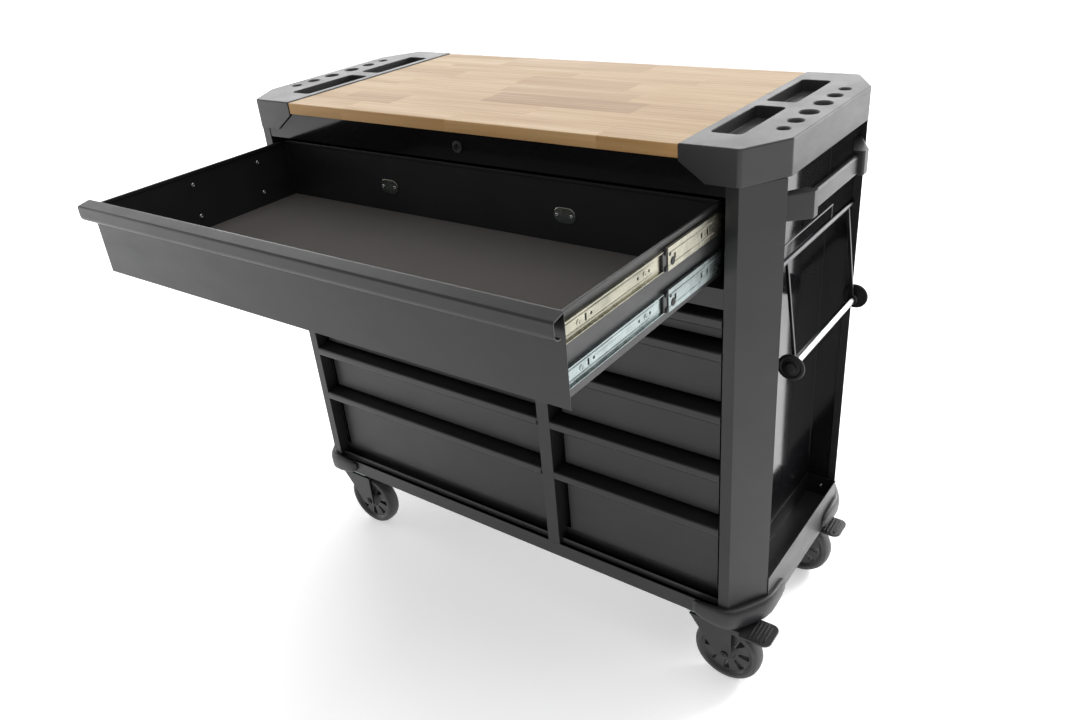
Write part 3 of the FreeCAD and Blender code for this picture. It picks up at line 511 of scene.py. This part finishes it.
def points_of(shape, rings):
    return [[shape.verts.new(point) for point in ring] for ring in rings]


def band(shape, low, high):
    """A band of faces between two rings."""
    count = len(low)
    for step in range(count):
        after = (step + 1) % count
        shape.faces.new((low[step], low[after], high[after], high[step]))


def stack(shape, rings):
    """Bridges rings of equally many points and closes both ends."""
    made = points_of(shape, rings)
    for low, high in zip(made, made[1:]):
        band(shape, low, high)
    shape.faces.new(list(reversed(made[0])))
    shape.faces.new(made[-1])


def placed(outline, height, centre, axis):
    """A flat outline in millimetres, lifted along an axis from a point in metres."""
    turn = Vector(axis).to_track_quat("Z", "Y").to_matrix()
    return [centre + turn @ (Vector((x, y, height)) * MM) for x, y in outline]


def ring_of(radius, steps=24, turned=0.0):
    angles = [math.tau * step / steps + turned for step in range(steps)]
    return [(radius * math.cos(angle), radius * math.sin(angle)) for angle in angles]


def cross_of(reach, half):
    """A cross of 24 points, to match a ring of 24."""
    arm = [(reach, 0), (reach, half), ((reach + half) / 2, half), (half, half),
           (half, (reach + half) / 2), (half, reach)]
    points = []
    for _ in range(4):
        points += arm
        arm = [(-y, x) for x, y in arm]
    return points


def screw(shape, centre, axis, radius, high):
    """A pan head with a cross recess."""
    rings = [(ring_of(radius), 0), (ring_of(radius), 0.4 * high),
             (ring_of(0.88 * radius), 0.78 * high), (ring_of(0.62 * radius), high),
             (cross_of(0.52 * radius, 0.13 * radius), high),
             (cross_of(0.44 * radius, 0.09 * radius), 0.35 * high)]
    stack(shape, [placed(ring, lift, centre, axis) for ring, lift in rings])


def dome(shape, centre, axis, radius, high):
    rings = [(1, 0), (1, 0.45), (0.9, 0.75), (0.65, 0.95), (0.3, 1)]
    stack(shape, [placed(ring_of(radius * r), high * h, centre, axis) for r, h in rings])


def hex_nut(shape, centre, axis, radius, high):
    rings = [(1, 0), (1, 0.8), (0.86, 1), (0.5, 1), (0.5, 1.35), (0.42, 1.5)]
    stack(shape, [placed(ring_of(radius * r, 6), high * h, centre, axis) for r, h in rings])


def eyelet(shape, centre, axis, outer, inner, high):
    """A raised ring pressed in a flat web."""
    rings = [(outer, 0), (outer - 0.4, high), (inner + 0.4, high), (inner, 0.1)]
    stack(shape, [placed(ring_of(r, 20), h, centre, axis) for r, h in rings])


def bar(shape, low, high, soft):
    """A box between two corners with its upright and level edges drawn in by soft."""
    def outline(inset):
        near, far = low + Vector((inset, inset, 0)), high - Vector((inset, inset, 0))
        return [(near.x + soft, near.y), (far.x - soft, near.y), (far.x, near.y + soft),
                (far.x, far.y - soft), (far.x - soft, far.y), (near.x + soft, far.y),
                (near.x, far.y - soft), (near.x, near.y + soft)]
    levels = [(soft, low.z), (0, low.z + soft), (0, high.z - soft), (soft, high.z)]
    stack(shape, [[Vector((x, y, z)) for x, y in outline(inset)] for inset, z in levels])


def case_screws():
    """Screws on the shelves' flanges face forward, those on the back face out."""
    shape = bmesh.new()
    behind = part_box("back_panel")[1].y
    for low, high in shells("case_screws"):
        centre = (low + high) / 2
        outward = 1 if centre.y > behind else -1
        centre.y = low.y if outward > 0 else high.y
        radius, tall = (high.x - low.x) / 2 / MM, (high.y - low.y) / MM
        screw(shape, centre, (0, outward, 0), radius, tall)
    piece = show(shape, "case_screw_heads", [LOOK["chrome"]], "case_screws")


OVAL_STEPS = 32
PLATE_SCREW = (3.4, 1.6)  # radius, height
PLATE_SCREW_AT = 0.33  # share of the plate's length from its middle


def drawer_fittings():
    """Oval plates on the wide drawer's back wall, and the screws of its slides."""
    plates, heads = bmesh.new(), bmesh.new()
    box_low, box_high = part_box("top_drawer_box")
    middle = (box_low.x + box_high.x) / 2
    for low, high in shells("top_drawer_fittings"):
        centre, size = (low + high) / 2, (high - low) / MM
        is_plate = size.x > size.y * 4
        if is_plate:
            half_x, radius = (size.x - size.z) / 2, size.z / 2
            outline = [(x + math.copysign(half_x, x), y)
                       for x, y in ring_of(radius, OVAL_STEPS, math.pi / OVAL_STEPS)]
            inner = [(x * 0.93, y * 0.9) for x, y in outline]
            foot = Vector((centre.x, high.y, centre.z))
            stack(plates, [placed(outline, 0, foot, (0, -1, 0)),
                           placed(outline, size.y * 0.6, foot, (0, -1, 0)),
                           placed(inner, size.y, foot, (0, -1, 0))])
            for side in (-1, 1):
                reach = side * PLATE_SCREW_AT * size.x * MM
                screw(heads, Vector((centre.x + reach, low.y, centre.z)), (0, -1, 0), *PLATE_SCREW)
        else:
            side = 1 if centre.x < middle else -1
            spot = Vector((low.x if side > 0 else high.x, centre.y, centre.z))
            screw(heads, spot, (side, 0, 0), size.z / 2, size.x)
    show(plates, "oval_plates", [LOOK["slide_steel"]], "top_drawer_fittings")
    show(heads, "drawer_screw_heads", [LOOK["chrome"]], "top_drawer_fittings", stands=False)


EYELETS = {"top_drawer_slides": (32, 178), "middle_slides": ()}  # from the front end
EYELET = (4.2, 2.6, 0.5)  # outer radius, inner radius, height
WEB_SETBACK = 1.2
BEAD_AT = 0.52  # share of the slide's half height
BEAD_HALF_HIGH, BEAD_HALF_THICK, BEAD_SOFT, BEAD_END = 0.9, 0.4, 0.3, 1
RETAINER_LIFTS = (11.5, -10.5)
RETAINER_HALF_HIGH, RETAINER_SOFT = 3.4, 0.7
RETAINER_FRONT, RETAINER_BACK = 7, 0.5
# each clip: distance from the front end, lift, radius, height
CLIPS = ((12, -5, 5.6, 0.9), (5, 6.5, 2.6, 0.8))


def slide_details():
    """Pressed eyelets and length-wise beads on the slides, and their plastic retainers."""
    for node, eyelets in EYELETS.items():
        shape = bmesh.new()
        for low, high in shells(node):
            side = 1 if (low.x + high.x) / 2 > case_x else -1
            level = (low.z + high.z) / 2
            # The web is on the drawer's side in the inner members and outside in the middle ones.
            if node == "middle_slides":
                face = high.x if side > 0 else low.x
            else:
                setback = WEB_SETBACK * MM
                face = low.x + setback if side > 0 else high.x - setback
            for offset in eyelets:
                eyelet(shape, Vector((face, low.y + offset * MM, level)), (side, 0, 0), *EYELET)
            half = (high.z - low.z) / 2 / MM
            thick, end = BEAD_HALF_THICK * MM, BEAD_END * MM
            for lift in (half * BEAD_AT, -half * BEAD_AT):
                bottom = level + (lift - BEAD_HALF_HIGH) * MM
                top = level + (lift + BEAD_HALF_HIGH) * MM
                bar(shape, Vector((face - thick, low.y + end, bottom)),
                    Vector((face + thick, high.y - end, top)), BEAD_SOFT * MM)
        show(shape, node + "_pressings", [LOOK["slide_steel"]], node, stands=False)
    retainers, clips = bmesh.new(), bmesh.new()
    for low, high in shells("middle_slides"):
        side = 1 if (low.x + high.x) / 2 > case_x else -1
        level = (low.z + high.z) / 2
        face = high.x if side > 0 else low.x
        inner = low.x if side > 0 else high.x
        left, right = sorted((inner + side * 0.2 * MM, face + side * 0.3 * MM))
        front, back = low.y - RETAINER_FRONT * MM, low.y + RETAINER_BACK * MM
        for lift in RETAINER_LIFTS:
            bottom = level + (lift - RETAINER_HALF_HIGH) * MM
            top = level + (lift + RETAINER_HALF_HIGH) * MM
            bar(retainers, Vector((left, front, bottom)), Vector((right, back, top)),
                RETAINER_SOFT * MM)
        for offset, lift, radius, tall in CLIPS:
            spot = Vector((face, low.y + offset * MM, level + lift * MM))
            dome(clips, spot, (side, 0, 0), radius, tall)
    for shape, name in ((retainers, "slide_retainers"), (clips, "slide_clips")):
        piece = show(shape, name, [LOOK["dark_moulding"]], "middle_slides", stands=False)


RIB_FROM, RIB_PITCH = 12, 6.5  # back from the pedal's outer end
RIB_INSETS = (9, 5, 5, 5, 5)
RIB_HALF, RIB_SUNK, RIB_PROUD, RIB_SOFT = 1.4, 1.5, 1.3, 0.5


def pedal(node):
    """The brake pedal with its grip ribs."""
    shape = clean_mesh(node)
    low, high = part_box(node)
    for step, inset in enumerate(RIB_INSETS):
        x = high.x - (RIB_FROM + RIB_PITCH * step) * MM
        foot = Vector((x - RIB_HALF * MM, low.y + inset * MM, high.z - RIB_SUNK * MM))
        head = Vector((x + RIB_HALF * MM, high.y - inset * MM, high.z + RIB_PROUD * MM))
        bar(shape, foot, head, RIB_SOFT * MM)
    piece = show(shape, node + "_ribbed", [LOOK["black_plastic"]], node)
    round_edges(piece, 0.9, 2, 40)


def roll_discs():
    """Moulded end discs, each dished and with a hub cap on its outer face."""
    shape = bmesh.new()
    rod_low, rod_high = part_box("roll_rod")
    middle = (rod_low.y + rod_high.y) / 2
    for low, high in shells("roll_discs"):
        outward = 1 if low.y > middle else -1
        radius, thick = (high.z - low.z) / 2 / MM, (high.y - low.y) / MM
        centre = (low + high) / 2
        centre.y = low.y if outward > 0 else high.y
        # each ring: radius, height
        profile = [(radius - 1.2, 0), (radius, 1.2), (radius, thick - 1.2), (radius - 1.2, thick),
                   (radius - 5, thick), (radius - 6.5, thick - 1.6), (radius * 0.45, thick - 1.6),
                   (radius * 0.4, thick + 1.5), (radius * 0.33, thick + 2.4)]
        stack(shape, [placed(ring_of(r, 48), h, centre, (0, outward, 0)) for r, h in profile])
    piece = show(shape, "roll_discs_moulded", [LOOK["dark_moulding"]], "roll_discs")
    round_edges(piece, 0.5, 2, 25)


NUT = (8, 3)  # radius, height
NUT_SUNK = 2


def axle_nuts():
    """A dark hexagon nut on each end of every axle."""
    for node in frame["nodes"]:
        if not node.startswith("caster_fork_"):
            continue
        wheel_low, wheel_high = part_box(node.replace("caster_fork", "wheel"))
        low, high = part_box(node)
        centre = (wheel_low + wheel_high) / 2
        shape = bmesh.new()
        for side, face in ((-1, low.y), (1, high.y)):
            foot = Vector((centre.x, face - side * NUT_SUNK * MM, centre.z))
            hex_nut(shape, foot, (0, side, 0), *NUT)
        piece = show(shape, node + "_nuts", [LOOK["black_paint"]], node, stands=False)
        round_edges(piece, 0.4, 2, 25)


# edge widths of the pieces that are rounder than the rest, which have SOFTENED
EDGES = {
    "tray_left": 1.3, "tray_right": 1.3, "handle_brackets": 1.4, "handle_bar": 1.0,
    "base_frame": 0.9, "slide_latches": 0.6, "top_drawer_front": 0.5, "top_drawer_handle": 0.5,
    "top_drawer_box": 1.2, "caster_plates": 0.8, "lock_housing": 0.8, "lock_cylinder": 0.4,
    "caster_fork_front_left": 1.0, "caster_fork_front_right": 1.0,
    "caster_fork_rear_left": 1.0, "caster_fork_rear_right": 1.0,
}
SOFTENED = 0.35
DARKENED = {
    "roll_holder": "dark_wire", "lock_cylinder": "black_lock", "lock_housing": "black_plastic",
}
MADE_APART = {
    "worktop": worktop, "corner_bumpers": bumpers, "case_screws": case_screws,
    "top_drawer_fittings": drawer_fittings, "roll_discs": roll_discs,
}

for node in frame["nodes"]:
    if node in MADE_APART:
        MADE_APART[node]()
    elif node.startswith("wheel_"):
        wheel(node)
    elif node.startswith("brake_pedal_"):
        pedal(node)
    else:
        finished(node, EDGES.get(node, SOFTENED))
slide_details()
axle_nuts()
hole_collars()


# ---------------------------------------------------------------- room, lights and camera

# The floor's glow is painted light: it lightens the bench's shadow on the floor and lights the bench
# from below.
FLOOR_GLOW = 0.42
FLOOR_HALF = 40
FLOOR_BELOW = 0.0005
AMBIENT = 0.37


def floor():
    """A wide pale floor under and around the bench, glowing evenly: painted light that lifts the
    bench's shadow on it.
    """
    made, tree, shader, here = start_material("glowing_pale_floor", Emission_Strength=FLOOR_GLOW)
    shader.inputs["Emission Color"].default_value = (1, 1, 1, 1)
    soft = noise(tree, here, 1.2, 3, 0.5)
    tree.links.new(ramp(tree, soft, (0.3, 0.86), (0.7, 0.88)), shader.inputs["Base Color"])
    tree.links.new(ramp(tree, soft, (0.3, 0.75), (0.7, 0.8)), shader.inputs["Roughness"])
    shape = bmesh.new()
    bmesh.ops.create_grid(shape, x_segments=8, y_segments=8, size=FLOOR_HALF)
    data = bpy.data.meshes.new("floor")
    shape.to_mesh(data)
    shape.free()
    data.materials.append(made)
    plane = bpy.data.objects.new("floor", data)
    plane.location.z = cad_low.z - FLOOR_BELOW
    scene.collection.objects.link(plane)


def lamp(name, kind, energy, place, aim, **settings):
    data = bpy.data.lights.new(name, kind)
    data.energy = energy
    for key, value in settings.items():
        setattr(data, key, value)
    made = bpy.data.objects.new(name, data)
    made.location = place
    made.rotation_euler = (Vector(aim) - Vector(place)).to_track_quat("-Z", "Y").to_euler()
    scene.collection.objects.link(made)


def camera():
    """Seen from the front right, above, with a wide lens held slightly askew."""
    right = Vector((0.8095, 0.5815, -0.0796))
    up = Vector((-0.2225, 0.4296, 0.8751))
    back = Vector((0.5435, -0.6906, 0.4772))
    data = bpy.data.cameras.new("camera")
    data.lens = 30.3
    data.sensor_width = 36
    made = bpy.data.objects.new("camera", data)
    turned = Matrix((right, up, back)).transposed().to_4x4()
    place = Vector((case_x + 0.9812, case_y - 1.0806, 1.3239))
    made.matrix_world = Matrix.Translation(place) @ turned
    scene.collection.objects.link(made)
    scene.camera = made


floor()
lamp("overhead", "SUN", 1.5, (0.3, 0.5, 3.0), (0, 0, 0), angle=math.radians(60))
lamp("backdrop", "AREA", 330, (-1.0, 4.2, 1.9), (-0.4, 0.2, 0.8),
     shape="RECTANGLE", size=11.0, size_y=3.0)
lamp("right_rear", "AREA", 35, (2.6, 3.6, 1.0), (0.4, 0.2, 0.6),
     shape="RECTANGLE", size=2.4, size_y=1.6)
lamp("left_fill", "AREA", 45, (-4.2, -1.2, 1.2), (-0.3, -0.2, 0.6),
     shape="RECTANGLE", size=2.4, size_y=2.2)
lamp("left_high", "AREA", 30, (-4.7, 1.5, 3.0), (0.0, 0.0, 0.8),
     shape="RECTANGLE", size=3.0, size_y=2.4)
lamp("floor_glow", "SPOT", 160, (1.6, 1.9, 1.3), (0.95, 0.75, 0.0),
     spot_size=math.radians(50), spot_blend=1.0, shadow_soft_size=0.3)
camera()
world = bpy.data.worlds.new("studio")
world.use_nodes = True
scene.world = world
background = world.node_tree.nodes["Background"]
background.inputs["Color"].default_value = (1.0, 1.0, 1.0, 1)
background.inputs["Strength"].default_value = AMBIENT
scene.view_settings.view_transform = "Standard"
